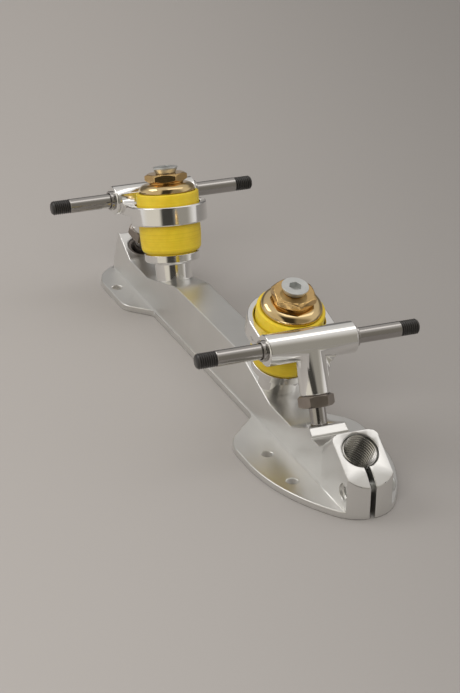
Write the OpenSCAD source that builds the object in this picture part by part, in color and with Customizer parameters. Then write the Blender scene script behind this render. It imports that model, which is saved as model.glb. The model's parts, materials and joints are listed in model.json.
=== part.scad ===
// Quad roller skate plate, lying sole down with its trucks up.
// Millimetres. +X along the axles, -Y to the toe, +Z away from the sole.
// Both trucks are one design, turned end for end.

/* [Plate] */
// Distance between the two axle centres
wheelbase = 181; // [165:1:200]
// Toe tip ahead of the front axle
toe_reach = 67.5; // [64:0.5:76]
// Heel end behind the rear axle
heel_reach = 29.5; // [28:0.5:38]
// Thickness of the sole flange
flange_t = 3; // [2.5:0.1:4]
// Width of the flange along the waist
waist_w = 22.4; // [21.6:0.2:26]
// Greatest width of the toe wing
toe_wing_w = 62; // [56:1:70]
// Greatest width of the heel wing
heel_wing_w = 45; // [42:1:56]
// Radius of each side of the toe arch
toe_arch_r = 87; // [75:1:100]
// Radius of the nose at the toe tip
nose_r = 17; // [14:0.5:20]
// Axle to where a wing runs into the waist
wing_neck = 31; // [27:0.5:34]
// Rounding of the toe wing's shoulder
toe_shoulder_r = 20; // [8:1:22]
// Rounding of the heel wing's shoulder
heel_shoulder_r = 10; // [6:1:14]
// Rounding in the neck between wing and waist
neck_r = 6; // [3:0.5:9]

/* [Spine] */
// Width of the spine where it leaves the flange
spine_w = 20.8; // [19:0.2:21.2]
// Draft of the spine's side walls in degrees
spine_draft = 5.5; // [3:0.5:7]
// Height of the flat middle of the spine
spine_h = 24; // [22:0.5:27]
// Cove along the foot of the side walls
foot_cove_r = 0.7; // [0.4:0.1:1]
// Blend where the spine starts down to a truck
slope_blend_r = 24; // [10:1:40]
// Fall from a kingpin's foot to the floor before its pivot housing
valley_drop = 3.5; // [3.1:0.1:5]
// Blend from the slope into that floor
valley_blend_r = 18; // [4:0.5:20]
// Blend from that floor up to the housing's face
face_blend_r = 8; // [3:0.5:9]
// Width of the cored channel in the underside
channel_w = 12.4; // [12:0.2:13]
// Length of the cored channel
channel_l = 70; // [40:1:74]
// Rounding of the channel's ends
channel_end_r = 5; // [3:0.1:6]
// Metal left over the channel
channel_roof = 4.6; // [3:0.1:8]

/* [Pivot housing] */
// Height of the ridge across the top of the front pivot housing
ridge_h = 21.4; // [20.5:0.1:23]
// Depth of the facet behind that ridge
facet_l = 3.5; // [2.5:0.1:5]
// Fall of that facet in degrees
facet_fall = 33; // [20:1:40]
// Rounding of the ridge
ridge_r = 1.2; // [0.6:0.1:1.4]
// Rounding of the facet's lower edge
facet_r = 0.6; // [0.3:0.1:0.8]
// Draft of the rear housing's back in degrees
back_draft = 6; // [3:0.5:8]
// Rounding of the rear housing's back corners
boss_back_r = 3.5; // [2:0.5:8]
// Metal between the front cup's bore and the ridge
cup_wall = 1.6; // [1.2:0.1:2.4]
// Metal between the rear cup's bore and the back of its housing
rear_cup_wall = 4.4; // [3.6:0.1:5]
// Outer diameter of a pivot cup
cup_d = 13; // [12:0.1:14]
// Width of the chamfer round the cup's bore
cup_chamfer = 0.7; // [0.3:0.1:0.8]
// Depth of the cup's bore below the housing's face
cup_bore_l = 10; // [9.4:0.1:11]
// How far the cup sits below the housing's face
cup_recess = 1.4; // [0.6:0.1:2]
// Centre of the pivot ball below the housing's face
ball_depth = 5; // [4.4:0.1:5.4]

/* [Toe stop block] */
// Width of the block
block_w = 21.2; // [20.6:0.1:23]
// Toe tip to the back of the block
block_l = 28.6; // [27:0.1:32]
// Lean of the toe stop from upright in degrees
stop_lean = 33; // [28:1:38]
// Height of the centre of the bore's mouth
stop_h = 25.2; // [24:0.1:27]
// Toe tip to the centre of the bore's mouth
stop_back = 14.2; // [13:0.1:16]
// Diameter of the toe stop thread
stop_d = 15.88; // [14:0.01:16.5]
// Metal between the mouth and the crown of the block
crown_wall = 0.7; // [0.5:0.1:1.5]
// Rounding of the crown's corners
crown_r = 4; // [2:0.5:5]
// Width of the chamfer round the mouth
stop_chamfer = 0.6; // [0.3:0.1:1]
// Width of the clamping slot
slot_w = 2.4; // [1.6:0.1:3]
// Height at which the front of the block turns to a chamfer
nose_h = 14.4; // [13:0.1:16]
// Height of the spine between pivot housing and block
dip_h = 18.2; // [16:0.1:18.6]
// Blend from that dip up to the block
dip_r = 6; // [2:0.5:8]
// Diameter of the clamp screw
clamp_d = 5; // [4:0.1:5.5]
// Diameter of the clamp screw's head and of the recess opposite
clamp_head_d = 7.2; // [6.5:0.1:8]
// Height of the clamp screw above the sole
clamp_h = 10.8; // [8:0.1:11.5]
// Toe tip to the clamp screw
clamp_back = 7.5; // [7:0.1:8.5]

/* [Sole holes] */
// Diameter of the holes in the wings
hole_d = 5; // [4:0.1:6]
// Distance across the toe wing between its holes
toe_hole_x = 40; // [34:0.5:44]
// Distance along the toe wing between its holes
toe_hole_y = 26; // [20:0.5:30]
// First pair of toe holes ahead of the front axle
toe_hole_lead = 5.2; // [2:0.2:8]
// Distance across the heel wing between its holes
heel_hole_x = 35.6; // [32:0.2:38]
// Heel holes behind the rear axle
heel_hole_lead = 1; // [-2:0.2:6]

/* [Trucks] */
// Height of the axle over the sole
axle_h = 50.4; // [48:0.2:54]
// Lean of the kingpin from upright in degrees
kingpin_tilt = 15; // [12:0.5:17]
// Axle ahead of the kingpin, square to the kingpin
axle_lead = 20.3; // [20:0.1:22]
// Axle above the middle of the hanger's web, along the kingpin
axle_rise = 6.1; // [5:0.1:7]
// Lean of the pivot arm from upright in degrees
arm_lean = 23.5; // [21:0.5:26]

/* [Axle] */
// Diameter of the axle
axle_d = 7; // [6:0.1:8]
// Length of the axle
axle_l = 105; // [95:1:120]
// Length of thread at each end of the axle
axle_thread_l = 8.7; // [7:0.1:11]
// Diameter of that thread
axle_thread_d = 6.6; // [5.6:0.1:6.6]
// Step up to where the axle is pressed into the barrel
axle_step = 0.2; // [0.16:0.02:0.4]
// Diameter of the thin washer against each end of the barrel
axle_washer_d = 9.4; // [9:0.1:11]
// Thickness of that washer
axle_washer_t = 1.8; // [1:0.1:2.4]

/* [Hanger] */
// Diameter of the axle barrel
barrel_d = 14.1; // [13:0.1:15]
// Length of the axle barrel
barrel_l = 42; // [40:0.5:48]
// Outer diameter of the yoke ring
ring_d = 37.2; // [36.6:0.1:39]
// Height of the yoke ring
ring_h = 9.3; // [8:0.1:10]
// Thickness of the web between the cushions
web_t = 3; // [2.4:0.1:3.6]
// Underside of the bridge to the barrel, below the middle of the web
bridge_drop = 0.5; // [0.2:0.1:0.8]
// Room round each cushion in the ring
cup_gap = 0.5; // [0.4:0.1:0.7]
// Hole for the kingpin in the web
web_hole_d = 12; // [11:0.1:14]
// Cove between the ring's top and the barrel
yoke_cove_r = 5; // [3:0.1:6]
// Diameter of the pivot arm
arm_d = 13.2; // [12.6:0.1:14]
// Axle centre to the end of the pivot arm
arm_l = 22.2; // [21:0.1:23]
// Thickness of the flares beside the arm
flare_t = 6.4; // [5:0.1:7]
// Radius of the flares beside the arm
flare_r = 13; // [11:0.1:13.6]
// Metal between the axle and the end of the pivot stud
stud_wall = 2.3; // [1.5:0.1:4]

/* [Pivot] */
// Diameter of the pivot stud
stud_d = 7.4; // [7:0.1:7.8]
// Diameter of the ball at the stud's end
ball_d = 8; // [7.8:0.1:8.6]
// Lock nut across flats
lock_af = 14; // [13:0.1:14.6]
// Lock nut height
lock_h = 5.2; // [4.5:0.1:6]

/* [Kingpin] */
// Diameter of the kingpin
kingpin_d = 8; // [7.5:0.1:8.5]
// Thread of the kingpin inside the plate
kingpin_grip = 12.5; // [9:0.1:13]
// Diameter of the kingpin's head
head_d = 12; // [11.4:0.1:13]
// Diameter of the head where it meets the adjusting nut
head_foot_d = 9.6; // [9:0.1:10.4]
// Height of the kingpin's head
head_h = 2.9; // [2.5:0.1:3.5]
// Straight rim at the top of the head
head_rim = 0.6; // [0.4:0.1:1]
// Hex socket across flats
socket_af = 5; // [4:0.5:5]
// Depth of the hex socket
socket_l = 2.6; // [2:0.1:3]

/* [Cushions and seat] */
// Height of the lower cushion
lower_h = 18.8; // [17:0.1:20]
// Diameter of the lower cushion
lower_d = 29; // [28:0.1:30]
// Height of the upper cushion to the washer's rim
upper_h = 8.7; // [8:0.1:9.6]
// Diameter of the upper cushion
upper_d = 30.4; // [29:0.1:30.6]
// Diameter of the seat's flange
seat_d = 26.8; // [26:0.1:28]
// Thickness of the seat's flange
seat_t = 3.2; // [2.6:0.1:4]
// Diameter of the seat's post
post_d = 17.8; // [16:0.1:18]
// Height of the seat's post
post_h = 9.4; // [8.4:0.1:10]
// Lip round the seat
seat_lip = 0.8; // [0.5:0.1:1]
// Swell of the lower cushion under its load
lower_swell = 0.3; // [0:0.1:0.5]

/* [Washer and nut] */
// Diameter of the cup washer
washer_d = 27.2; // [26:0.1:27.4]
// Thickness of the cup washer
washer_t = 1.5; // [1.2:0.1:2]
// Height of the cup washer
washer_h = 4; // [3.4:0.1:4.4]
// Diameter of the washer's flat top
washer_top_d = 19; // [17:0.1:20]
// Adjusting nut across flats
nut_af = 18; // [17:0.1:19]
// Height of the adjusting nut
nut_h = 4.8; // [4.2:0.1:5.6]
// Height of the round collar under the nut
collar_h = 0.8; // [0.5:0.1:1.2]
// Diameter of that collar
collar_d = 16.6; // [16:0.1:17]

/* [Fits] */
// Clearance of fixed round fits
fit_gap = 0.03; // [0.02:0.01:0.05]
// Clearance of turning round fits
run_gap = 0.05; // [0.03:0.01:0.08]
// Gap between a cushion and what presses on it
press_gap = 0.1; // [0.05:0.01:0.15]
// Room for the kingpin in the cushions
kingpin_room = 0.5; // [0.35:0.05:0.8]
// Room for the kingpin and the cushions in the cup washer and the seat
washer_room = 0.3; // [0.25:0.05:0.5]
// Room left at the blind end of a bore
end_room = 0.5; // [0.3:0.1:1]

/* [Hidden] */
$fn = 64;
arc_step = 4;
eps = 0.01;
far = 200;
FRONT = 0;
REAR = 1;

plate_l = toe_reach + wheelbase + heel_reach;
toe_y = -plate_l / 2;
heel_y = plate_l / 2;
front_y = toe_y + toe_reach;
rear_y = heel_y - heel_reach;
mid_y = (front_y + rear_y) / 2;

// Stations along the kingpin, from the middle of the hanger's web
seat_top_s = -web_t / 2 - lower_h;
foot_s = seat_top_s - seat_t - post_h;
rim_s = web_t / 2 + upper_h;
washer_top_s = rim_s + washer_h;
nut_s = washer_top_s + run_gap;
nut_top_s = nut_s + nut_h;
head_s = nut_top_s + press_gap;

// Middle of the web and foot of the seat, outward and up from the sole under the axle
web_y = -axle_lead * cos(kingpin_tilt) - axle_rise * sin(kingpin_tilt);
web_z = axle_h + axle_lead * sin(kingpin_tilt) - axle_rise * cos(kingpin_tilt);
foot_y = web_y + foot_s * sin(kingpin_tilt);
foot_z = web_z + foot_s * cos(kingpin_tilt);

// The housing's face is square to the pivot arm and ends at the ridge
face_run = cup_wall + cup_d / 2;
face_t = (axle_h - ridge_h + face_run * sin(arm_lean)) / cos(arm_lean);
ball_t = face_t + ball_depth;
ridge_y = face_t * sin(arm_lean) + face_run * cos(arm_lean);
facet_end_y = ridge_y + facet_l;
facet_end_z = ridge_h - facet_l * tan(facet_fall);

// The rear housing's face runs on past the cup to the housing's back
rear_run = rear_cup_wall - cup_wall;
rear_ridge_y = ridge_y + rear_run * cos(arm_lean);
rear_ridge_h = ridge_h + rear_run * sin(arm_lean);
boss_foot_y = rear_ridge_y + rear_ridge_h * tan(back_draft);

function direction(a) = [cos(a), sin(a)];
function arc(c, r, a0, a1) =
    let (n = max(2, ceil(abs(a1 - a0) / arc_step)))
    [for (i = [0 : n]) c + r * direction(a0 + (a1 - a0) * i / n)];
// Rounded corner at p for a path that turns from heading d0 to heading d1
function corner(p, d0, d1, r) =
    let (
        turn = d1 - d0,
        side = sign(turn),
        start = p - r * tan(abs(turn) / 2) * direction(d0),
        centre = start + r * side * direction(d0 + 90)
    )
    arc(centre, r, d0 - 90 * side, d1 - 90 * side);
function mirrored(points) = [for (i = [len(points) - 1 : -1 : 0]) [-points[i].x, points[i].y]];
// Height where a line through p at slope a passes y
function line_z(p, a, y) = p.y + (y - p.x) * tan(a);

module at_end(end) {
    translate([0, end == FRONT ? front_y : rear_y, 0])
        rotate([0, 0, end == FRONT ? 180 : 0])
            children();
}

module on_kingpin(end) {
    at_end(end)
        translate([0, web_y, web_z])
            rotate([-kingpin_tilt, 0, 0])
                children();
}

// Z runs from the axle down the pivot arm
module on_arm(end) {
    at_end(end)
        translate([0, 0, axle_h])
            rotate([180 + arm_lean, 0, 0])
                children();
}

// Extrudes a side view (y, z) to a width along X
module side_view(width) {
    rotate([90, 0, 90])
        linear_extrude(width, center = true)
            children();
}

// Z runs out of the toe stop bore, from the middle of its mouth
module on_stop() {
    translate([0, toe_y + stop_back, stop_h])
        rotate([stop_lean, 0, 0])
            children();
}

// Outline of the sole flange

toe_half = toe_wing_w / 2;
heel_half = heel_wing_w / 2;
waist_half = waist_w / 2;
nose_y = toe_y + nose_r;
wide_y = nose_y + sqrt(pow(toe_arch_r - nose_r, 2) - pow(toe_arch_r - toe_half, 2));
arch_x = toe_half - toe_arch_r;
arch_a = atan2(nose_y - wide_y, -arch_x);
toe_neck_y = front_y + wing_neck;
heel_neck_y = rear_y - wing_neck;
neck_a = 45;

nose_arc = arc([0, nose_y], nose_r, -90, arch_a);
toe_arch = arc([arch_x, wide_y], toe_arch_r, arch_a, 0);
toe_shoulder = corner([toe_half, toe_neck_y - toe_half + waist_half], 90, 90 + neck_a, toe_shoulder_r);
toe_neck = corner([waist_half, toe_neck_y], 90 + neck_a, 90, neck_r);
heel_neck = corner([waist_half, heel_neck_y], 90, 90 - neck_a, neck_r);
heel_shoulder = corner([heel_half, heel_neck_y + heel_half - waist_half], 90 - neck_a, 90, heel_shoulder_r);
heel_arc = arc([0, heel_y - heel_half], heel_half, 0, 90);
half_outline = concat(nose_arc, toe_arch, toe_shoulder, toe_neck, heel_neck, heel_shoulder, heel_arc);

module sole_outline() {
    polygon(concat(half_outline, mirrored(half_outline)));
}

// Top line of the spine from its flat middle out over one truck, as outward distance and height

slope_y = foot_y - (spine_h - foot_z) / tan(kingpin_tilt);
valley_h = foot_z - valley_drop;
valley_start_y = foot_y + valley_drop / tan(kingpin_tilt);
valley_end_y = ridge_y - (ridge_h - valley_h) / tan(arm_lean);

valley_line = concat(
    corner([slope_y, spine_h], 0, -kingpin_tilt, slope_blend_r),
    corner([valley_start_y, valley_h], -kingpin_tilt, 0, valley_blend_r),
    corner([valley_end_y, valley_h], 0, arm_lean, face_blend_r)
);
rear_line = concat(valley_line, corner([rear_ridge_y, rear_ridge_h], arm_lean, -90, ridge_r));

// Crown of the toe stop block, and its back falling from there to the dip
back_fall = 45;
block_back_y = toe_y + block_l;
crown_run = stop_d / 2 + stop_chamfer + crown_wall;
crown_y = toe_y + stop_back + crown_run * cos(stop_lean);
crown_z = stop_h + crown_run * sin(stop_lean);
block_back_h = line_z([crown_y, crown_z], -back_fall, block_back_y);
block_run = front_y - block_back_y;
dip_end_y = block_run - (block_back_h - dip_h) / tan(back_fall);
dip_line = concat(
    [[facet_end_y, dip_h]],
    corner([dip_end_y, dip_h], 0, back_fall, dip_r),
    [[block_run + eps, block_back_h]]
);
front_line = concat(
    valley_line,
    corner([ridge_y, ridge_h], arm_lean, -facet_fall, ridge_r),
    corner([facet_end_y, facet_end_z], -facet_fall, -90, facet_r),
    dip_line
);

module spine_side() {
    polygon(concat(
        [[block_back_y - eps, 0]],
        [for (i = [len(front_line) - 1 : -1 : 0]) [front_y - front_line[i].x, front_line[i].y]],
        [for (p = rear_line) [rear_y + p.x, p.y]],
        [[rear_y + boss_foot_y, 0]]
    ));
}

spine_half = spine_w / 2;
wall_foot = corner([spine_half, flange_t], 180, 90 + spine_draft, foot_cove_r);
spine_top_half = spine_half - (spine_h + flange_t) * tan(spine_draft);
half_section = concat([[wall_foot[0].x, 0]], wall_foot, [[spine_top_half, spine_h + 2 * flange_t]]);

module spine_section() {
    polygon(concat(half_section, mirrored(half_section)));
}

boss_back = corner([wall_foot[0].x, rear_y + boss_foot_y], 90, 180, boss_back_r);

module spine_plan() {
    half = concat([[wall_foot[0].x, block_back_y - eps]], boss_back);
    polygon(concat(half, mirrored(half)));
}

module spine() {
    intersection() {
        side_view(far) spine_side();
        translate([0, plate_l, 0])
            rotate([90, 0, 0])
                linear_extrude(2 * plate_l)
                    spine_section();
        linear_extrude(far) spine_plan();
    }
}

// Toe stop block: inclined top face round the bore, its nose on the sole's outline

brow_back = (stop_h - nose_h - stop_back * tan(stop_lean)) / (1 - tan(stop_lean));

module block_side() {
    brow_y = toe_y + brow_back;
    polygon([
        [toe_y - nose_h, 0],
        [brow_y, nose_h + brow_back],
        [block_back_y, line_z([crown_y, crown_z], stop_lean, block_back_y)],
        [block_back_y, 0]
    ]);
}

// The block seen along its back: straight sides and a rounded top
module block_end() {
    half = corner([block_w / 2, 0], 90, 180, crown_r);
    polygon(concat([[block_w / 2, -far]], half, mirrored(half), [[-block_w / 2, -far]]));
}

module stop_block() {
    intersection() {
        side_view(far) block_side();
        linear_extrude(far) sole_outline();
        translate([0, crown_y, crown_z])
            rotate([90 - back_fall, 0, 0])
                linear_extrude(2 * far, center = true)
                    block_end();
    }
}

module stop_bore() {
    on_stop() {
        translate([0, 0, -far]) cylinder(d = stop_d, h = 2 * far);
        translate([0, 0, -stop_chamfer])
            cylinder(d1 = stop_d, d2 = stop_d + 4 * stop_chamfer, h = 2 * stop_chamfer);
        translate([-slot_w / 2, -far, -far]) cube([slot_w, far, 2 * far]);
    }
}

clamp_y = toe_y + clamp_back;
clamp_recess = 1.6;

module clamp_hole() {
    translate([0, clamp_y, clamp_h])
        rotate([0, 90, 0]) {
            translate([0, 0, -block_w]) cylinder(d = clamp_d + 2 * fit_gap, h = 2 * block_w);
            translate([0, 0, -block_w]) cylinder(d = clamp_head_d, h = block_w / 2 + clamp_recess);
        }
}

module sole_holes() {
    toe_y1 = front_y - toe_hole_lead;
    spots = [
        [toe_hole_x / 2, toe_y1],
        [toe_hole_x / 2, toe_y1 - toe_hole_y],
        [heel_hole_x / 2, rear_y + heel_hole_lead]
    ];
    for (p = spots, side = [-1, 1])
        translate([side * p.x, p.y, -flange_t]) cylinder(d = hole_d, h = 3 * flange_t);
}

module channel() {
    half_w = channel_w / 2;
    half_l = channel_l / 2;
    end = corner([half_w, half_l], 90, 180, channel_end_r);
    side = concat([for (i = [len(end) - 1 : -1 : 0]) [end[i].x, -end[i].y]], end);
    translate([0, mid_y, -eps])
        linear_extrude(spine_h - channel_roof + eps)
            polygon(concat(side, mirrored(side)));
}

module plate() {
    color("#c3c4c2")
        difference() {
            union() {
                linear_extrude(flange_t) sole_outline();
                spine();
                stop_block();
            }
            for (end = [FRONT, REAR]) {
                on_kingpin(end)
                    translate([0, 0, foot_s - kingpin_grip])
                        cylinder(d = kingpin_d + 2 * fit_gap, h = kingpin_grip + post_h);
                on_arm(end) {
                    translate([0, 0, face_t - cup_d]) cylinder(d = cup_d, h = cup_bore_l + cup_d);
                    translate([0, 0, face_t - cup_chamfer])
                        cylinder(d1 = cup_d + 4 * cup_chamfer, d2 = cup_d, h = 2 * cup_chamfer);
                }
            }
            stop_bore();
            clamp_hole();
            sole_holes();
            channel();
        }
}

// Fixed to the plate

module pivot_cup(end) {
    top = face_t + cup_recess;
    bottom = face_t + cup_bore_l;
    mouth_flare = 1;
    seat_r = ball_d / 2 + run_gap;
    mouth_r = seat_r + mouth_flare;
    outer_r = cup_d / 2 - fit_gap;
    color("#2b2c2e")
        on_arm(end)
            difference() {
                translate([0, 0, top]) cylinder(r = outer_r, h = bottom - top - fit_gap);
                translate([0, 0, ball_t]) sphere(r = seat_r);
                translate([0, 0, top - eps]) cylinder(r1 = mouth_r, r2 = seat_r, h = ball_t - top + eps);
            }
}

module kingpin(end) {
    r = kingpin_d / 2;
    tip_s = foot_s - kingpin_grip + end_room;
    tip_chamfer = 1;
    top_s = head_s + head_h;
    color("#cfd0cd")
        on_kingpin(end)
            difference() {
                rotate_extrude()
                    polygon([
                        [0, tip_s],
                        [r - tip_chamfer, tip_s],
                        [r, tip_s + tip_chamfer],
                        [r, head_s],
                        [head_foot_d / 2, head_s],
                        [head_d / 2, top_s - head_rim],
                        [head_d / 2, top_s],
                        [0, top_s]
                    ]);
                translate([0, 0, top_s - socket_l])
                    cylinder(d = socket_af / cos(30), h = socket_l + eps, $fn = 6);
            }
}

seat_edge = 0.5;
seat_inner_r = seat_d / 2 - 2 * seat_edge;

module kingpin_seat(end) {
    r = seat_d / 2;
    bore_r = kingpin_d / 2 + fit_gap;
    cove = 1.4;
    flange_s = seat_top_s - seat_t;
    lip_s = seat_top_s + seat_lip;
    color("#d2d3d2")
        on_kingpin(end)
            rotate_extrude()
                polygon(concat(
                    [[bore_r, foot_s], [post_d / 2, foot_s]],
                    corner([post_d / 2, flange_s], 90, 0, cove),
                    [[r - seat_edge, flange_s], [r, flange_s + seat_edge], [r, lip_s - seat_edge / 2]],
                    [[r - seat_edge / 2, lip_s], [seat_inner_r, lip_s]],
                    [[seat_inner_r, seat_top_s], [bore_r, seat_top_s]]
                ));
}

cushion_bore_r = kingpin_d / 2 + kingpin_room;

module lower_cushion(end) {
    r = lower_d / 2;
    foot_r = seat_inner_r - washer_room;
    foot_h = 0.4;
    round_h = 2.6;
    edge = 0.8;
    steps = 8;
    round_s = seat_top_s + seat_lip + foot_h;
    side_s = round_s + round_h;
    top_s = -web_t / 2 - press_gap;
    side_h = top_s - edge - side_s;
    color("#e6cf1f")
        on_kingpin(end)
            rotate_extrude()
                polygon(concat(
                    [[cushion_bore_r, seat_top_s], [foot_r, seat_top_s]],
                    [for (a = [0 : 15 : 90]) [foot_r + (r - foot_r) * sin(a), side_s - round_h * cos(a)]],
                    [for (i = [1 : steps]) let (u = i / steps)
                        [r + lower_swell * sin(180 * u), side_s + side_h * u]],
                    [[r - edge, top_s], [cushion_bore_r, top_s]]
                ));
}

// The crown of the upper cushion fills the cup washer
crown_s = rim_s + washer_h - washer_t - washer_room;

module upper_cushion(end) {
    r = upper_d / 2;
    bottom_s = web_t / 2 + press_gap;
    crown_r = washer_d / 2 - washer_t - washer_room;
    flat_r = washer_top_d / 2 - washer_t;
    edge = 0.5;
    shoulder_r = 1;
    shoulder_s = rim_s - press_gap;
    color("#e6cf1f")
        on_kingpin(end)
            rotate_extrude()
                polygon(concat(
                    [[cushion_bore_r, bottom_s], [r - edge, bottom_s], [r, bottom_s + edge]],
                    corner([r, shoulder_s], 90, 180, shoulder_r),
                    [[crown_r, shoulder_s]],
                    [for (a = [0 : 15 : 90])
                        [flat_r + (crown_r - flat_r) * cos(a), rim_s + (crown_s - rim_s) * sin(a)]],
                    [[cushion_bore_r, crown_s]]
                ));
}

module toe_stop_clamp_screw() {
    head_t = 2.2;
    dome = 0.8;
    tip = 1;
    hex_af = 3;
    hex_l = 1.4;
    end_x = -block_w / 2 + clamp_recess + end_room;
    head_x = block_w / 2;
    top_x = head_x + head_t;
    color("#b9bab8")
        translate([0, clamp_y, clamp_h])
            rotate([0, 90, 0])
                difference() {
                    rotate_extrude()
                        polygon([
                            [0, end_x],
                            [clamp_d / 2 - tip / 2, end_x],
                            [clamp_d / 2, end_x + tip],
                            [clamp_d / 2, head_x],
                            [clamp_head_d / 2, head_x],
                            [clamp_head_d / 2, top_x - dome],
                            [clamp_head_d / 2 - dome, top_x],
                            [0, top_x]
                        ]);
                    translate([0, 0, top_x - hex_l])
                        cylinder(d = hex_af / cos(30), h = hex_l + eps, $fn = 6);
                }
}

// Parts that turn with a truck

axle_seat_r = axle_d / 2 + axle_step;
cup_upper_r = upper_d / 2 + cup_gap;
cup_lower_r = lower_d / 2 + lower_swell + cup_gap;

module yoke_plan() {
    circle(d = ring_d);
    translate([-ring_d / 2, 0]) square([ring_d, axle_lead]);
}

module yoke_cove() {
    top = ring_h / 2;
    reach = sqrt(pow(barrel_d / 2 + yoke_cove_r, 2) - pow(top + yoke_cove_r - axle_rise, 2));
    cove_y = axle_lead - reach;
    difference() {
        translate([-ring_d / 2, cove_y, 0]) cube([ring_d, reach, top + yoke_cove_r]);
        translate([-far, cove_y, top + yoke_cove_r]) rotate([0, 90, 0]) cylinder(r = yoke_cove_r, h = 2 * far);
        translate([-far, axle_lead, axle_rise]) cube([2 * far, far, far]);
    }
}

// Runs out on the arm's own surface, so it leaves no step there
module arm_flare() {
    half = sqrt(pow(arm_d, 2) - pow(flare_t, 2)) / 2 + flare_r;
    difference() {
        translate([-half, -flare_t / 2, 0]) cube([2 * half, flare_t, arm_l - lock_h]);
        for (side = [-1, 1])
            translate([side * half, -flare_t, arm_l - lock_h])
                rotate([-90, 0, 0]) cylinder(r = flare_r, h = 2 * flare_t);
    }
}

module hanger(end) {
    chamfer = 0.6;
    color("#d6d7d6")
        difference() {
            union() {
                on_kingpin(end) {
                    translate([0, 0, -ring_h / 2]) cylinder(d = ring_d, h = ring_h);
                    translate([0, 0, -bridge_drop]) linear_extrude(ring_h / 2 + bridge_drop) yoke_plan();
                    yoke_cove();
                    translate([0, axle_lead, axle_rise])
                        rotate([0, 90, 0])
                            rotate_extrude()
                                polygon([
                                    [0, -barrel_l / 2],
                                    [barrel_d / 2 - chamfer, -barrel_l / 2],
                                    [barrel_d / 2, chamfer - barrel_l / 2],
                                    [barrel_d / 2, barrel_l / 2 - chamfer],
                                    [barrel_d / 2 - chamfer, barrel_l / 2],
                                    [0, barrel_l / 2]
                                ]);
                }
                on_arm(end) {
                    cylinder(d = arm_d, h = arm_l);
                    arm_flare();
                }
            }
            on_kingpin(end) {
                translate([0, 0, web_t / 2]) cylinder(r = cup_upper_r, h = far);
                translate([0, 0, -web_t / 2 - far]) cylinder(r = cup_lower_r, h = far);
                cylinder(d = web_hole_d, h = far, center = true);
            }
            at_end(end)
                translate([-far, 0, axle_h])
                    rotate([0, 90, 0])
                        cylinder(r = axle_seat_r + fit_gap, h = 2 * far);
            on_arm(end)
                translate([0, 0, stud_top_t - end_room]) cylinder(d = stud_d + 2 * fit_gap, h = far);
        }
}

module axle(end) {
    r = axle_d / 2;
    tr = axle_thread_d / 2;
    shoulder = axle_l / 2 - axle_thread_l;
    step = barrel_l / 2 + axle_washer_t;
    tip = 0.8;
    half = [
        [tr - tip, axle_l / 2], [tr, axle_l / 2 - tip], [tr, shoulder],
        [r, shoulder], [r, step], [axle_seat_r, step]
    ];
    color("#a79f97")
        at_end(end)
            translate([0, 0, axle_h])
                rotate([0, 90, 0])
                    rotate_extrude()
                        polygon(concat(
                            [[0, axle_l / 2]], half,
                            [for (i = [len(half) - 1 : -1 : 0]) [half[i].x, -half[i].y]], [[0, -axle_l / 2]]
                        ));
}

module axle_washers(end) {
    color("#8f8b86")
        at_end(end)
            translate([0, 0, axle_h])
                rotate([0, 90, 0])
                    for (side = [-1, 1])
                        translate([0, 0, side * (barrel_l + axle_washer_t) / 2])
                            difference() {
                                cylinder(d = axle_washer_d, h = axle_washer_t, center = true);
                                cylinder(r = axle_seat_r + fit_gap, h = far, center = true);
                            }
}

stud_top_t = axle_seat_r + stud_wall + end_room;

module pivot_stud(end) {
    color("#a89f96")
        on_arm(end) {
            translate([0, 0, stud_top_t]) cylinder(d = stud_d, h = ball_t - stud_top_t);
            translate([0, 0, ball_t]) sphere(d = ball_d);
        }
}

// Hexagon with both faces turned down to a cone
module hex_body(af, h) {
    inset = 0.3;
    face_r = af / 2 - inset;
    corner_r = af / 2 / cos(30);
    drop = (corner_r - face_r) * tan(30);
    intersection() {
        cylinder(r = corner_r, h = h, $fn = 6);
        rotate_extrude()
            polygon([
                [0, 0], [face_r, 0], [corner_r, drop],
                [corner_r, h - drop], [face_r, h], [0, h]
            ]);
    }
}

module pivot_lock_nut(end) {
    hex_turn = 13;
    color("#8d7c70")
        on_arm(end)
            translate([0, 0, arm_l])
                difference() {
                    rotate([0, 0, hex_turn]) hex_body(lock_af, lock_h);
                    cylinder(d = stud_d + 2 * fit_gap, h = far, center = true);
                }
}

// Parts that follow the adjusting nut

module cup_washer(end) {
    r = washer_d / 2;
    top_r = washer_top_d / 2;
    hole_r = kingpin_d / 2 + washer_room;
    lip = 0.9;
    color("#cfa85e")
        on_kingpin(end)
            rotate_extrude()
                polygon(concat(
                    [[r - washer_t, rim_s], [r, rim_s]],
                    [for (a = [0 : 9 : 90])
                        [top_r + (r - top_r) * cos(a), rim_s + lip + (washer_h - lip) * sin(a)]],
                    [[hole_r, washer_top_s], [hole_r, washer_top_s - washer_t]],
                    [for (a = [90 : -9 : 9])
                        [top_r - washer_t + (r - top_r) * cos(a), rim_s + (washer_h - washer_t) * sin(a)]]
                ));
}

module adjusting_nut(end) {
    hex_turn = end == FRONT ? 23 : 36;
    color("#b07c3a")
        on_kingpin(end)
            translate([0, 0, nut_s])
                difference() {
                    union() {
                        cylinder(d = collar_d, h = 2 * collar_h);
                        translate([0, 0, collar_h]) rotate([0, 0, hex_turn]) hex_body(nut_af, nut_h - collar_h);
                    }
                    cylinder(d = kingpin_d + 2 * run_gap, h = far, center = true);
                }
}

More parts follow.
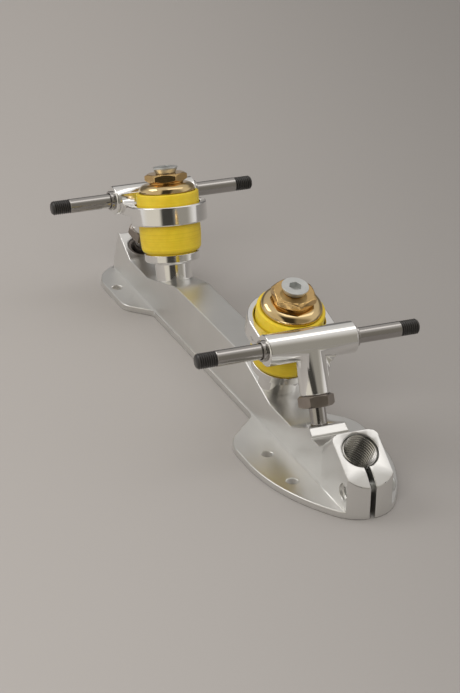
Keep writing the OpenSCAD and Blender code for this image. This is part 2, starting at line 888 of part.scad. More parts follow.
plate();
toe_stop_clamp_screw();
pivot_cup(FRONT);  // front_pivot_cup
kingpin(FRONT);  // front_kingpin
kingpin_seat(FRONT);  // front_kingpin_seat
lower_cushion(FRONT);  // front_lower_cushion
upper_cushion(FRONT);  // front_upper_cushion
hanger(FRONT);  // front_hanger
axle(FRONT);  // front_axle
axle_washers(FRONT);  // front_axle_washers
pivot_stud(FRONT);  // front_pivot_stud
pivot_lock_nut(FRONT);  // front_pivot_lock_nut
cup_washer(FRONT);  // front_cup_washer
adjusting_nut(FRONT);  // front_adjusting_nut
pivot_cup(REAR);  // rear_pivot_cup
kingpin(REAR);  // rear_kingpin
kingpin_seat(REAR);  // rear_kingpin_seat
lower_cushion(REAR);  // rear_lower_cushion
upper_cushion(REAR);  // rear_upper_cushion
hanger(REAR);  // rear_hanger
axle(REAR);  // rear_axle
axle_washers(REAR);  // rear_axle_washers
pivot_stud(REAR);  // rear_pivot_stud
pivot_lock_nut(REAR);  // rear_pivot_lock_nut
cup_washer(REAR);  // rear_cup_washer
adjusting_nut(REAR);  // rear_adjusting_nut
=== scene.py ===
import json
import math
import bmesh
import bpy
from mathutils import Matrix, Vector
from mathutils.bvhtree import BVHTree
from mathutils.geometry import delaunay_2d_cdt


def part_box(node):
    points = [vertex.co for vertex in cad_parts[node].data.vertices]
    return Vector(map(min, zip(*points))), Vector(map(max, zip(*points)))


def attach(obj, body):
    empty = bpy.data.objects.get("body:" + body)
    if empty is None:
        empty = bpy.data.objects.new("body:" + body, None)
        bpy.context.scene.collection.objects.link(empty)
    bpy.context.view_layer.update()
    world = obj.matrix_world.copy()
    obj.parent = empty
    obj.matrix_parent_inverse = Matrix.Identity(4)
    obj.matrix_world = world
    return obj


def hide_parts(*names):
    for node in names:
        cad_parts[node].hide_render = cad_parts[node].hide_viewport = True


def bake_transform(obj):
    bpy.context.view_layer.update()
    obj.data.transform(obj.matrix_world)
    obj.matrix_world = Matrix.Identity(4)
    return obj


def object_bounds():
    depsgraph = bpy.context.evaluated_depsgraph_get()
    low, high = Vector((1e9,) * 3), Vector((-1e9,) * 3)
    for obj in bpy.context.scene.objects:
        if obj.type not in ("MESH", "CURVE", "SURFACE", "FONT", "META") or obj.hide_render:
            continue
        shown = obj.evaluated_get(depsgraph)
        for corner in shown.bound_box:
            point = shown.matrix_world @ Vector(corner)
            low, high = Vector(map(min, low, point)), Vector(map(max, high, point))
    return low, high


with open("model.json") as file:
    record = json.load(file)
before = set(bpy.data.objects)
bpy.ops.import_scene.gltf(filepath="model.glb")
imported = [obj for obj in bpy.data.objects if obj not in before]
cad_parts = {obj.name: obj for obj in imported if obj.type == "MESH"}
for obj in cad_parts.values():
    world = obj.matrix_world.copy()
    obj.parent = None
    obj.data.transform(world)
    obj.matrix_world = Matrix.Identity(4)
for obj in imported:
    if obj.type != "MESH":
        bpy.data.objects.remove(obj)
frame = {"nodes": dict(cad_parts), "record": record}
cad_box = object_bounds()


# View
# The plate lies sole down on a table, trucks up, and is seen from above its toe and a little
# to its left through a long lens.
mm = 0.001
eye = Vector((-0.40976, -0.90184, 0.48821))
look = Vector((0.36986, 0.82374, -0.42973)).normalized()
roll = math.radians(1.78)
film_h = 24.0
image_h = 693
focal_px = 2383.34
zenith = Vector((0, 0, 1))

level = look.cross(zenith).normalized()
above = level.cross(look)
right = math.cos(roll) * level + math.sin(roll) * above
up = math.cos(roll) * above - math.sin(roll) * level
lens = bpy.data.cameras.new("camera")
lens.sensor_fit = "VERTICAL"
lens.sensor_height = film_h
lens.lens = film_h * focal_px / image_h
camera = bpy.data.objects.new("camera", lens)
camera.matrix_world = Matrix.Translation(eye) @ Matrix((right, up, -look)).transposed().to_4x4()
bpy.context.scene.collection.objects.link(camera)
bpy.context.scene.camera = camera
bpy.context.scene.view_settings.view_transform = "Standard"


# Table and light
# A sheet of grey paper under two softboxes, with a fill lamp beside the camera. The polished metal
# shows the room: pale above and at the sides, dark behind the camera, dim and brown to its right.
# Past the paper the camera sees a plain backdrop.
class Wire:
    """One socket of a node tree. Arithmetic on it adds the maths nodes."""

    def __init__(self, tree, socket=None):
        self.tree = tree
        self.socket = socket

    def node(self, kind, settings=None, values=None, out=0):
        """Adds a node: first its settings, then the values or links of its sockets."""
        made = self.tree.nodes.new(kind)
        for name, value in (settings or {}).items():
            setattr(made, name, value)
        for name, value in (values or {}).items():
            if isinstance(value, Wire):
                self.tree.links.new(value.socket, made.inputs[name])
            else:
                made.inputs[name].default_value = value
        return Wire(self.tree, made.outputs[out] if len(made.outputs) else None)

    def out(self, name):
        """Another output of the same node."""
        return Wire(self.tree, self.socket.node.outputs[name])

    def maths(self, operation, *terms):
        """The result of one maths node on these terms."""
        return self.node("ShaderNodeMath", {"operation": operation}, dict(enumerate(terms)))

    def __add__(self, other):
        return self.maths("ADD", self, other)

    def __sub__(self, other):
        return self.maths("SUBTRACT", self, other)

    def __rsub__(self, other):
        return self.maths("SUBTRACT", other, self)

    def __mul__(self, other):
        return self.maths("MULTIPLY", self, other)

    def __truediv__(self, other):
        return self.maths("DIVIDE", self, other)

    __radd__ = __add__
    __rmul__ = __mul__

    def ramp(self, low, high, start=0.0, end=1.0):
        """Runs smoothly from start to end as this value goes from low to high."""
        values = {"Value": self, "From Min": low, "From Max": high, "To Min": start, "To Max": end}
        return self.node("ShaderNodeMapRange", {"interpolation_type": "SMOOTHSTEP"}, values)

    def between(self, low, high):
        """A colour that runs from low to high as this value goes from 0 to 1."""
        first, last = (c if isinstance(c, Wire) else (*c, 1) for c in (low, high))
        return self.node("ShaderNodeMix", {"data_type": "RGBA"}, {0: self, 6: first, 7: last}, out=2)

    def noise(self, scale, detail=2.0, stretch=(1, 1, 1)):
        """Noise over this place, with cells of about 1 / scale metres, finer where stretch is larger."""
        place = self.node("ShaderNodeMapping", None, {"Vector": self, "Scale": stretch})
        return self.node("ShaderNodeTexNoise", None, {"Vector": place, "Scale": scale, "Detail": detail})

    def stored(self, name):
        """The value that the mesh keeps under a name."""
        return self.node("ShaderNodeAttribute", {"attribute_name": name}, out="Fac")

    def relief(self, depth):
        """A normal for a surface that stands up to depth metres high where this value is 1."""
        return self.node("ShaderNodeBump", None, {"Height": self, "Strength": 1.0, "Distance": depth})


def finish(name, recipe, **steady):
    """A material: recipe gives the sockets that vary over the surface, steady those that don't."""
    made = bpy.data.materials.new(name)
    made.use_nodes = True
    made.node_tree.nodes.clear()
    start = Wire(made.node_tree)
    where = start.node("ShaderNodeTexCoord", out="Object")
    sockets = {key.replace("_", " "): value for key, value in steady.items()}
    surface = start.node("ShaderNodeBsdfPrincipled", None, {**sockets, **recipe(where)})
    start.node("ShaderNodeOutputMaterial", None, {"Surface": surface})
    return made


table_back = 3.0
table_left = 0.22
table_front = 0.32
table_drop = 0.15 * mm
paper_in_painted_light = (0.500, 0.478, 0.462)
paper_in_painted_shade = (0.300, 0.288, 0.280)
shade_x = 0.94
shade_y = 0.34
shade_from = -0.16
shade_to = 0.32
shade_fray = 0.02


# Painted shade: the paper's colour runs from pale to dim as a painted falloff of light, darker to the
# right and towards the camera.
def grey_paper(where):
    axes = where.node("ShaderNodeSeparateXYZ", None, {"Vector": where})
    fibre = where.noise(scale=700, detail=3)
    painted_falloff = shade_x * axes.out("X") - shade_y * axes.out("Y") + shade_fray * fibre
    return {"Base Color": painted_falloff.ramp(shade_from, shade_to).between(paper_in_painted_light, paper_in_painted_shade)}


table_mesh = bpy.data.meshes.new("table")
near = ((-table_left, -table_front), (table_back, -table_front))
far = ((table_back, table_back), (-table_left, table_back))
table_mesh.from_pydata([(x, y, -table_drop) for x, y in near + far], [], [(0, 1, 2, 3)])
table_mesh.materials.append(finish("grey_paper", grey_paper, Roughness=0.9, Specular_IOR_Level=0.2))
table = bpy.data.objects.new("table", table_mesh)
bpy.context.scene.collection.objects.link(table)

lamp_tint = (1.0, 0.975, 0.945)
plate_middle = (0, 0, 0)
softbox_at = (0.5, -0.08, 1.35)
softbox_aim = (0.5, -0.08, 0)
side_at = (-0.87, 0.55, 1.02)
fill_at = (-0.90, -1.40, 1.15)


def panel(name, place, aim, wide, high, radiance):
    """A flat lamp at a place, turned towards aim."""
    light = bpy.data.lights.new(name, "AREA")
    light.shape = "RECTANGLE"
    light.size = wide
    light.size_y = high
    light.energy = radiance * math.pi * wide * high
    light.color = lamp_tint
    lamp = bpy.data.objects.new(name, light)
    lamp.location = place
    lamp.rotation_euler = (Vector(aim) - Vector(place)).to_track_quat("-Z", "Y").to_euler()
    bpy.context.scene.collection.objects.link(lamp)
    return lamp


panel("softbox", softbox_at, softbox_aim, wide=1.3, high=0.50, radiance=0.76)
panel("side_softbox", side_at, plate_middle, wide=0.75, high=0.6, radiance=2.0)
fill = panel("fill", fill_at, plate_middle, wide=1.2, high=1.0, radiance=4.4)
fill.visible_glossy = False

room_tint = (1.0, 0.965, 0.93)
front_tint = (1.0, 0.93, 0.80)
ceiling = 0.72
back_low = 0.17
back_high = 0.56
front_right = 0.24
front_left = 0.60
front_middle = 0.05
backdrop = 0.44
ceiling_span = (-0.75, -0.2)
back_span = (0.34, 0.56)
front_span = (0.08, 0.55)
left_span = (-0.45, -0.25)
right_span = (0.2, 0.45)
room = bpy.data.worlds.new("room")
room.use_nodes = True
room.node_tree.nodes.clear()
room_start = Wire(room.node_tree)
toward_camera = Vector((eye.x, eye.y, 0)).normalized()
heading = room_start.node("ShaderNodeTexCoord", out="Generated")


def along(direction):
    """How far the heading goes along a direction."""
    pair = {0: heading, 1: direction}
    return heading.node("ShaderNodeVectorMath", {"operation": "DOT_PRODUCT"}, pair, out="Value")


facing = along(toward_camera)
aside = along(level)
lift = along(zenith)
front = facing.ramp(*front_span)
back = lift.ramp(*back_span, back_low, back_high)
glow = back + facing.ramp(*ceiling_span) * (ceiling - back)
left_wall = aside.ramp(*left_span, front_left, 0.0)
right_wall = aside.ramp(*right_span, 0.0, front_right)
walls = glow + front * (front_middle + left_wall + right_wall - glow)
seen = room_start.node("ShaderNodeLightPath", out="Is Camera Ray")
tint = (front * (1 - seen)).between(room_tint, front_tint)
shown = walls + seen * (backdrop - walls)
sky = room_start.node("ShaderNodeBackground", None, {"Color": tint, "Strength": shown})
room_start.node("ShaderNodeOutputWorld", None, {"Surface": sky})
bpy.context.scene.world = room


# Plate
# One aluminium casting: sole flange, spine, two pivot housings and the split toe stop block. It is
# tumbled to a satin silver, which rounds its edges and leaves a faint mottle. The sole's holes are
# drilled and stay rough inside, and their walls carry a painted paleness that stands in for light
# reaching into the holes.
bodies = frame["record"]["behaviour"]["bodies"]
body_of = {node: body for body, nodes in bodies.items() for node in nodes}
slot_of = {part["node"]: part["material_slot"] for part in frame["record"]["subparts"]}


def piece(name, mesh, material, body, slot, *nodes):
    """Puts a mesh in the scene as a piece that rides on a body and stands for nodes."""
    mesh.materials.clear()
    mesh.materials.append(material)
    made = bpy.data.objects.new(name, mesh)
    bpy.context.scene.collection.objects.link(made)
    if nodes:
        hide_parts(*nodes)
    if body:
        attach(made, body)
    return made


def plain_mesh(shape):
    """The mesh of an object with its modifiers applied."""
    bpy.context.view_layer.update()
    graph = bpy.context.evaluated_depsgraph_get()
    return bpy.data.meshes.new_from_object(
        shape.evaluated_get(graph), preserve_all_data_layers=True, depsgraph=graph
    )


same_point = 0.002 * mm
flat_angle = math.radians(0.03)
edge_angle = math.radians(28)
crease_angle = math.radians(40)
cut_inside = 1
cut_slack = 1e-5


def cut_flat(shape):
    """Cuts faces of more than four corners into triangles that don't overlap at tight corners."""
    wide = [face for face in shape.faces if len(face.verts) > 4]
    for face in wide:
        origin = face.verts[0].co
        side = face.normal.orthogonal().normalized()
        other = face.normal.cross(side)
        flat = [Vector(((v.co - origin).dot(side), (v.co - origin).dot(other))) / mm for v in face.verts]
        border = [range(len(flat))]
        spots, _, cuts, sources, _, _ = delaunay_2d_cdt(flat, [], border, cut_inside, cut_slack)
        corners = []
        for spot, source in zip(spots, sources):
            if source:
                corners.append(face.verts[source[0]])
            else:
                corners.append(shape.verts.new(origin + mm * (spot.x * side + spot.y * other)))
        for cut in cuts:
            chosen = [corners[i] for i in cut]
            if len(set(chosen)) == 3 and not shape.faces.get(chosen):
                shape.faces.new(chosen, face)
    bmesh.ops.delete(shape, geom=wide, context="FACES_ONLY")


def applied(mesh, kind, **settings):
    """A mesh with one modifier applied."""
    carrier = bpy.data.objects.new("carrier", mesh)
    bpy.context.scene.collection.objects.link(carrier)
    step = carrier.modifiers.new("step", kind)
    for name, value in settings.items():
        setattr(step, name, value)
    made = plain_mesh(carrier)
    bpy.data.objects.remove(carrier)
    return made


edge_shares = (1.0, 0.6, 0.35)
edge_room = 2.2
edge_segments = 3
probed_parts = (0.25, 0.5, 0.75)
same_facing = 0.999


def rounded_copy(node, edge_r):
    """A merged copy of a CAD node. Its edges are rounded to edge_r, or less where a face is narrow."""
    shape = bmesh.new()
    shape.from_mesh(frame["nodes"][node].data)
    bmesh.ops.remove_doubles(shape, verts=shape.verts, dist=same_point)
    bmesh.ops.dissolve_limit(
        shape, angle_limit=flat_angle, verts=shape.verts, edges=shape.edges, use_dissolve_boundaries=False
    )
    shape.normal_update()
    skin = BVHTree.FromBMesh(shape)

    def roomy(loop, width):
        """Whether the loop's face goes on flat beside its edge for this width."""
        first = loop.vert.co
        last = loop.link_loop_next.vert.co
        inward = loop.face.normal.cross((last - first).normalized())
        for part in probed_parts:
            _, normal, _, gap = skin.find_nearest(first.lerp(last, part) + width * inward)
            if gap > same_point or normal.dot(loop.face.normal) < same_facing:
                return False
        return True

    share = shape.edges.layers.float.new("bevel_weight_edge")
    for edge in shape.edges:
        if len(edge.link_loops) == 2 and edge.calc_face_angle() > edge_angle:
            widths = ((part, edge_room * part * edge_r) for part in edge_shares)
            fits = (part for part, width in widths if all(roomy(loop, width) for loop in edge.link_loops))
            edge[share] = next(fits, 0.0)
    mesh = bpy.data.meshes.new(node)
    shape.to_mesh(mesh)
    mesh = applied(
        mesh, "BEVEL", limit_method="WEIGHT", width=edge_r, segments=edge_segments,
        use_clamp_overlap=False, miter_outer="MITER_ARC", face_strength_mode="FSTR_ALL",
    )
    shape.clear()
    shape.from_mesh(mesh)
    bmesh.ops.remove_doubles(shape, verts=shape.verts, dist=same_point)
    shape.normal_update()
    cut_flat(shape)
    for face in shape.faces:
        face.smooth = True
    shape.to_mesh(mesh)
    shape.free()
    mesh.set_sharp_from_angle(angle=crease_angle)
    return applied(mesh, "WEIGHTED_NORMAL", keep_sharp=True, use_face_influence=True)


def finished(node, material, edge_r):
    """A rounded copy of a CAD node, in its finish, in the node's place."""
    mesh = rounded_copy(node, edge_r)
    return piece(f"{node}_finished", mesh, material, body_of[node], slot_of[node], node)


def tumbled_silver(where):
    mottle = where.noise(scale=55, detail=3)
    grain = where.noise(scale=1600, detail=2)
    drilled_and_painted_pale = where.stored("drilled_and_painted_pale")
    satin = mottle.between((0.765, 0.765, 0.745), (0.855, 0.85, 0.83))
    return {
        # Painted light: the hole walls are made paler for the light reaching into the holes; their added
        # roughness is real.
        "Base Color": drilled_and_painted_pale.between(satin, (0.93, 0.925, 0.91)),
        "Roughness": 0.24 + 0.12 * mottle + 0.06 * grain + 0.45 * drilled_and_painted_pale,
        "Normal": grain.relief(0.012 * mm),
    }


plate_edge_r = 0.5 * mm
silver = finish("tumbled_silver", tumbled_silver, Metallic=1.0)
plate = finished("plate", silver, plate_edge_r)
drilled_and_painted_pale = plate.data.attributes.new("drilled_and_painted_pale", "FLOAT", "FACE")
wall_reach = 1.05
wall_steep = 0.5
for pattern in (m for m in frame["record"]["mounts"] if m["kind"] == "bolt_pattern"):
    hole_r = pattern["dims"]["hole_r_mm"] * mm
    half_x = pattern["dims"]["spacing_x_mm"] * mm / 2
    half_y = pattern["dims"].get("spacing_y_mm", 0.0) * mm / 2
    for face in plate.data.polygons:
        off = face.center - Vector(pattern["pos_m"])
        from_hole = math.hypot(abs(off.x) - half_x, abs(off.y) - half_y)
        if from_hole < wall_reach * hole_r and abs(face.normal.z) < wall_steep:
            drilled_and_painted_pale.data[face.index].value = 1.0


# Toe stop clamp screw
# A zinc plated cap screw through the split block. Its head pulls the slot together on the stem
# of a toe stop.
def bright_zinc(where):
    bloom = where.noise(scale=260, detail=3)
    return {
        "Base Color": bloom.between((0.54, 0.56, 0.55), (0.74, 0.75, 0.74)),
        "Roughness": 0.24 + 0.2 * bloom,
        "Normal": where.noise(scale=2400).relief(0.008 * mm),
    }


zinc = finish("bright_zinc", bright_zinc, Metallic=0.8)
screw_edge_r = 0.15 * mm
finished("toe_stop_clamp_screw", zinc, screw_edge_r)


# Toe stop thread
# The thread tapped in the split bore for the toe stop's stem. It is open along the slot and runs
# out where the bore meets the sole.
stop_mount = next(m for m in frame["record"]["mounts"] if m["name"] == "toe_stop_bore")
stop_axis = Vector(stop_mount["axis"]).normalized()
sideways = Vector((1, 0, 0))
stop_stand = 0.05 * mm
stop_r = stop_mount["dims"]["r_mm"] * mm - stop_stand
stop_mouth_y = 14.2 * mm
stop_mouth_z = 25.2 * mm
stop_mouth = Vector((0, cad_box[0][1] + stop_mouth_y, stop_mouth_z))
stop_chamfer = 0.6 * mm
stop_pitch = 1.65 * mm
stop_depth = 0.9 * mm
stop_foot_z = 0.4 * mm
stop_gap = math.radians(8.7)
stop_around = 97
stop_along = 301
no_taper = 1.0
flank_span = (0.1, 0.9)
last_row = 0.4999


def thread_tree():
    """Thread on a tube along Z: a grid wrapped round the axis and moved in and out with the helix."""
    tree = bpy.data.node_groups.new("thread", "GeometryNodeTree")
    for label in ("Radius", "Depth", "Pitch", "Length", "Slant", "Tip", "Closed", "Start", "Sweep"):
        tree.interface.new_socket(label, in_out="INPUT", socket_type="NodeSocketFloat")
    for label in ("Around", "Along"):
        tree.interface.new_socket(label, in_out="INPUT", socket_type="NodeSocketInt")
    tree.interface.new_socket("Material", in_out="INPUT", socket_type="NodeSocketMaterial")
    tree.interface.new_socket("Geometry", in_out="OUTPUT", socket_type="NodeSocketGeometry")
    start = Wire(tree)
    sizes = start.node("NodeGroupInput", out="Radius")
    grid = start.node("GeometryNodeMeshGrid", None, {
        "Size X": 1.0, "Size Y": 1.0, "Vertices X": sizes.out("Around"), "Vertices Y": sizes.out("Along"),
    })
    spot = start.node("GeometryNodeInputPosition")
    flat = start.node("ShaderNodeSeparateXYZ", None, {"Vector": spot})
    turn = sizes.out("Start") + sizes.out("Sweep") * (flat.out("X") + 0.5)
    across = start.maths("COSINE", turn)
    rise = start.maths("SINE", turn)
    height = (flat.out("Y") + 0.5) * (sizes.out("Length") + sizes.out("Slant") * rise)
    phase = height / sizes.out("Pitch") - turn / math.tau
    crest = (2 * start.maths("PINGPONG", phase, 0.5)).ramp(*flank_span)
    marked = start.node("GeometryNodeStoreNamedAttribute", {"data_type": "FLOAT", "domain": "POINT"}, {
        "Geometry": grid, "Name": "crest", "Value": crest,
    })
    taper = start.maths("ABSOLUTE", sizes.out("Length")) - start.maths("ABSOLUTE", height)
    cut_r = sizes.out("Radius") + sizes.out("Depth") * crest
    radius = start.maths("MINIMUM", cut_r, sizes.out("Tip") + taper)
    at_tip = start.maths("GREATER_THAN", flat.out("Y"), last_row) * sizes.out("Closed")
    drawn = radius * (1 - at_tip)
    place = start.node("ShaderNodeCombineXYZ", None, {"X": drawn * across, "Y": drawn * rise, "Z": height})
    moved = start.node("GeometryNodeSetPosition", None, {"Geometry": marked, "Position": place})
    merged = start.node("GeometryNodeMergeByDistance", None, {"Geometry": moved, "Distance": same_point})
    real = start.node("GeometryNodeRealizeInstances", None, {"Geometry": merged})
    dressed = start.node("GeometryNodeSetMaterial", None, {
        "Geometry": real, "Material": sizes.out("Material"),
    })
    start.node("NodeGroupOutput", None, {"Geometry": dressed})
    return tree


thread = thread_tree()


def thread_mesh(pose, material, **sizes):
    """A thread of these sizes, as a plain mesh set in place by pose."""
    carrier = bpy.data.objects.new("carrier", bpy.data.meshes.new("carrier"))
    bpy.context.scene.collection.objects.link(carrier)
    maker = carrier.modifiers.new("thread", "NODES")
    maker.node_group = thread
    for socket in thread.interface.items_tree:
        if socket.in_out == "INPUT":
            maker[socket.identifier] = material if socket.name == "Material" else sizes[socket.name]
    made = plain_mesh(carrier)
    bpy.data.objects.remove(carrier)
    made.transform(pose)
    made.shade_smooth()
    return made


def pose_at(origin, axis, across):
    """A frame at origin with Z along axis and X along across."""
    return Matrix.Translation(origin) @ Matrix((across, axis.cross(across), axis)).transposed().to_4x4()


def tapped_silver(where):
    crest = where.stored("crest")
    smear = where.noise(scale=300, detail=3)
    # Painted shade: the colour darkens from bright metal on the crests to near black in the thread's
    # roots.
    depth = (crest + 0.2 * smear).ramp(0.25, 0.95)
    return {
        "Base Color": depth.between((0.09, 0.09, 0.08), (0.84, 0.83, 0.80)),
        "Roughness": 0.10 + 0.12 * smear,
    }


tapped = finish("tapped_silver", tapped_silver, Metallic=1.0)
stop_top = stop_mouth - stop_chamfer * stop_axis
stop_pose = pose_at(stop_top, stop_axis, sideways)
stop_lean = stop_axis.cross(sideways).z
stop_thread = thread_mesh(
    stop_pose, tapped, Radius=stop_r, Depth=-stop_depth, Pitch=stop_pitch,
    Length=(stop_foot_z - stop_top.z) / stop_axis.z, Slant=-stop_r * stop_lean / stop_axis.z,
    Tip=no_taper, Closed=0.0, Start=stop_gap - math.pi / 2, Sweep=math.tau - 2 * stop_gap,
    Around=stop_around, Along=stop_along,
)
piece("toe_stop_thread", stop_thread, tapped, "plate", slot_of["plate"])


# Pivot cups
# Moulded sockets pressed into the two housings. They are grey-brown, slightly glossy, and hold the
# balls of the pivot studs.
def grey_moulding(where):
    flow = where.noise(scale=420, detail=3)
    return {
        "Base Color": flow.between((0.120, 0.104, 0.092), (0.190, 0.166, 0.148)),
        "Roughness": 0.38 + 0.2 * flow,
        "Normal": where.noise(scale=1800).relief(0.01 * mm),
    }


ends = ("front", "rear")
moulding = finish("grey_moulding", grey_moulding)
cup_edge_r = 0.2 * mm
for end in ends:
    finished(f"{end}_pivot_cup", moulding, cup_edge_r)


# Kingpins and their seats
# Zinc plated pins with a cone head and a hex socket, fixed in the plate. Each goes up through a turned
# and polished aluminium post, whose flange carries the lower cushion.
def polished_aluminium(where):
    haze = where.noise(scale=90, detail=3)
    grain = where.noise(scale=2600)
    return {
        "Base Color": haze.between((0.85, 0.845, 0.83), (0.91, 0.905, 0.89)),
        "Roughness": 0.06 + 0.07 * haze,
        "Normal": grain.relief(0.003 * mm),
    }


polished = finish("polished_aluminium", polished_aluminium, Metallic=1.0)
seat_edge_r = 0.25 * mm
kingpin_edge_r = 0.12 * mm
for end in ends:
    finished(f"{end}_kingpin_seat", polished, seat_edge_r)
    finished(f"{end}_kingpin", zinc, kingpin_edge_r)


# Lower cushions
# Moulded yellow urethane, squeezed between the seat and the hanger's web, so the side swells a little
# and shows faint level streaks.
def turned(name, outline, around, pose):
    """A closed ring turned from (radius, height) points, with the height kept as an attribute."""
    count = len(outline)
    points = []
    for i in range(around):
        turn = math.tau * i / around
        points += [(r * math.cos(turn), r * math.sin(turn), h) for r, h in outline]
    faces = []
    for i in range(around):
        near = i * count
        far = (i + 1) % around * count
        faces += [(near + j, far + j, far + (j + 1) % count, near + (j + 1) % count) for j in range(count)]
    mesh = bpy.data.meshes.new(name)
    mesh.from_pydata(points, [], faces)
    heights = mesh.attributes.new("height", "FLOAT", "POINT")
    heights.data.foreach_set("value", [p[2] for p in points])
    mesh.transform(pose)
    mesh.shade_smooth()
    mesh.set_sharp_from_angle(angle=crease_angle)
    return mesh


def yellow_urethane(where):
    height = where.stored("height")
    cloud = where.noise(scale=180, detail=3)
    wavy = where.node("ShaderNodeCombineXYZ", None, {"Z": height + 0.4 * mm * cloud})
    streak = wavy.noise(scale=1500, detail=3)
    tone = (0.6 * streak + 0.4 * cloud).ramp(0.25, 0.75)
    return {
        "Base Color": tone.between((0.74, 0.53, 0.020), (0.95, 0.715, 0.046)),
        "Roughness": 0.36 + 0.2 * streak,
        "Normal": streak.relief(0.10 * mm),
    }


def kingpin_pose(end):
    """A frame at the middle of a truck's web, with Z up along the kingpin."""
    joints = frame["record"]["behaviour"]["joints"]
    nut_joint = next(j for j in joints if j["name"] == f"{end}_nut_turn")
    return pose_at(Vector(nut_joint["pos_m"]), Vector(nut_joint["axis"]).normalized(), sideways)


def quarter(centre, r_x, r_h, start, stop, steps=8):
    """Points of an elliptic arc in the outline, from start to stop in degrees."""
    turns = [math.radians(start + (stop - start) * i / steps) for i in range(steps + 1)]
    return [(centre[0] + r_x * math.cos(t), centre[1] + r_h * math.sin(t)) for t in turns]


cushion_around = 144
bore_r = 4.5 * mm
lower_r = 14.5 * mm
lower_low = -20.3 * mm
lower_high = -1.6 * mm
foot_r = 12.1 * mm
foot_h = 1.2 * mm
foot_round_h = 2.6 * mm
swell = 0.4 * mm
lip = 0.8 * mm
side_steps = 12
side_low = lower_low + foot_h + foot_round_h
side_h = lower_high - lip - side_low
lower_outline = [(bore_r, lower_low), (foot_r, lower_low)]
lower_outline += quarter((foot_r, side_low), lower_r - foot_r, foot_round_h, -90, 0)
lower_outline += [
    (lower_r + swell * math.sin(math.pi * i / side_steps), side_low + side_h * i / side_steps)
    for i in range(1, side_steps)
]
lower_outline += quarter((lower_r - lip, lower_high - lip), lip, lip, 0, 90, steps=5)
lower_outline += [(bore_r, lower_high)]
urethane = finish("yellow_urethane", yellow_urethane, Subsurface_Weight=0.12, Subsurface_Scale=2 * mm)
for end in ends:
    pose = kingpin_pose(end)
    mesh = turned(f"{end}_lower_cushion", lower_outline, cushion_around, pose)
    cushion = piece(f"{end}_lower_urethane", mesh, urethane, None, "cushion", f"{end}_lower_cushion")
    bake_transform(cushion)


# Hangers
# Aluminium castings, polished bright: the ring round the cushions, the axle barrel and the arm that
# flares down to the pivot stud.
hanger_edge_r = 0.8 * mm
for end in ends:
    finished(f"{end}_hanger", polished, hanger_edge_r)


# Axles
# Ground steel rods with a warm nickel tone, pressed through the barrels, with a black thread at each
# end for the wheel nut.
def ground_steel(where):
    rings = where.noise(scale=900, detail=2, stretch=(9, 0.3, 0.3))
    haze = where.noise(scale=120, detail=2)
    return {
        "Base Color": haze.between((0.41, 0.395, 0.38), (0.48, 0.46, 0.445)),
        "Roughness": 0.08 + 0.06 * rings,
        "Normal": rings.relief(0.004 * mm),
    }


def black_oxide(where):
    oil = where.noise(scale=700, detail=3)
    crest = where.stored("crest")
    return {
        # Painted shade: the stored crest value is 1 where the thread is drawn in, here its roots, so the
        # colour darkens there.
        "Base Color": (0.3 * oil + 0.7 * crest).between((0.040, 0.037, 0.035), (0.003, 0.003, 0.003)),
        "Roughness": 0.22 + 0.2 * oil,
    }


steel = finish("ground_steel", ground_steel, Metallic=1.0)
oxide = finish("black_oxide", black_oxide, Specular_IOR_Level=0.6)
axle_r = 3.5 * mm
shaft_half = 43.8 * mm
shaft_chamfer = 0.3 * mm
thread_start = 43.2 * mm
thread_r = 3.42 * mm
thread_depth = 0.45 * mm
thread_pitch = 1.0 * mm
tip_chamfer = 0.8 * mm
core_r = 0.2 * axle_r
shaft_around = 64
thread_around = 49
thread_along = 121
lengthways = Vector((0, 1, 0))
shaft_outline = [(core_r, -shaft_half), (axle_r - shaft_chamfer, -shaft_half)]
shaft_outline += [(axle_r, shaft_chamfer - shaft_half), (axle_r, shaft_half - shaft_chamfer)]
shaft_outline += [(axle_r - shaft_chamfer, shaft_half), (core_r, shaft_half)]
for end in ends:
    low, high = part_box(f"{end}_axle")
    middle = (low + high) / 2
    shaft_pose = pose_at(middle, sideways, lengthways)
    shaft = turned(f"{end}_shaft", shaft_outline, shaft_around, shaft_pose)
    piece(f"{end}_axle_shaft", shaft, steel, f"{end}_truck", "axle", f"{end}_axle")
    for side, name in ((-1, "left"), (1, "right")):
        root = pose_at(middle + side * thread_start * sideways, side * sideways, lengthways)
        mesh = thread_mesh(
            root, oxide, Radius=thread_r, Depth=-thread_depth, Pitch=thread_pitch,
            Length=high.x - middle.x - thread_start, Slant=0.0, Tip=thread_r - tip_chamfer, Closed=1.0,
            Start=0.0, Sweep=math.tau, Around=thread_around, Along=thread_along,
        )
        piece(f"{end}_{name}_thread", mesh, oxide, f"{end}_truck", "axle")


# Axle washers, pivot studs and lock nuts
# Thin washers lie against the barrel's ends. A nickel stud is screwed into each arm, and a dark nut
# locks it at the length that suits the cushions.
def dark_plating(where):
    stain = where.noise(scale=240, detail=3)
    return {
        "Base Color": stain.between((0.27, 0.235, 0.205), (0.42, 0.37, 0.33)),
        "Roughness": 0.3 + 0.14 * stain,
        "Normal": where.noise(scale=2000).relief(0.006 * mm),
    }


plating = finish("dark_plating", dark_plating, Metallic=1.0)
washer_edge_r = 0.2 * mm
stud_edge_r = 0.15 * mm
lock_edge_r = 0.2 * mm
for end in ends:
    finished(f"{end}_axle_washers", steel, washer_edge_r)
    finished(f"{end}_pivot_stud", steel, stud_edge_r)
    finished(f"{end}_pivot_lock_nut", plating, lock_edge_r)


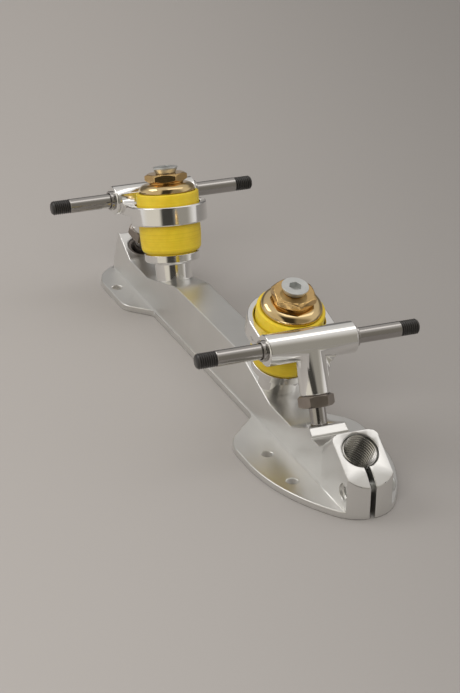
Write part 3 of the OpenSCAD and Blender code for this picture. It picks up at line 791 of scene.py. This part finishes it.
# Upper cushions
# The same urethane above the web. The shoulder stands out round the cup washer, and the middle lies a
# little lower, so that the nut has room to press the washer down.
upper_r = 15.2 * mm
upper_low = 1.6 * mm
rim_at = 10.2 * mm
press_gap = 0.1 * mm
press_room = 1.05 * mm
upper_edge = 0.5 * mm
shoulder_r = 1.0 * mm
hollow_r = 13.75 * mm
crown_r = 11.8 * mm
flat_r = 8.0 * mm
crown_h = 2.2 * mm
shoulder_at = rim_at - press_gap
hollow_at = rim_at - press_room
upper_outline = [(bore_r, upper_low)]
upper_outline += quarter(
    (upper_r - upper_edge, upper_low + upper_edge), upper_edge, upper_edge, -90, 0, steps=4
)
upper_outline += quarter((upper_r - shoulder_r, shoulder_at - shoulder_r), shoulder_r, shoulder_r, 0, 90)
upper_outline += [(hollow_r, shoulder_at), (hollow_r, hollow_at)]
upper_outline += quarter((flat_r, hollow_at), crown_r - flat_r, crown_h, 0, 90)
upper_outline += [(bore_r, hollow_at + crown_h)]
for end in ends:
    pose = kingpin_pose(end)
    mesh = turned(f"{end}_upper_cushion", upper_outline, cushion_around, pose)
    cushion = piece(f"{end}_upper_urethane", mesh, urethane, None, "cushion", f"{end}_upper_cushion")
    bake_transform(cushion)


# Cup washers
# Pressed caps with a rolled rim, polished and plated a pale yellow, that hold the upper cushions'
# crowns.
def yellow_plating(where):
    wear = where.noise(scale=160, detail=3)
    return {
        "Base Color": wear.between((0.66, 0.49, 0.24), (0.77, 0.60, 0.34)),
        "Roughness": 0.05 + 0.05 * wear,
        "Normal": where.noise(scale=900).relief(0.004 * mm),
    }


yellow = finish("yellow_plating", yellow_plating, Metallic=1.0)
cap_edge_r = 0.3 * mm
for end in ends:
    finished(f"{end}_cup_washer", yellow, cap_edge_r)


# Adjusting nuts
# Thin hexagons in a bronze-gold plating. Each goes down the kingpin with its cup washer and stops
# under the kingpin's head.
def bronze_plating(where):
    stain = where.noise(scale=220, detail=3)
    return {
        "Base Color": stain.between((0.66, 0.43, 0.17), (0.80, 0.56, 0.26)),
        "Roughness": 0.12 + 0.08 * stain,
        "Normal": where.noise(scale=500).relief(0.001 * mm),
    }


bronze = finish("bronze_plating", bronze_plating, Metallic=1.0)
nut_edge_r = 0.25 * mm
for end in ends:
    finished(f"{end}_adjusting_nut", bronze, nut_edge_r)
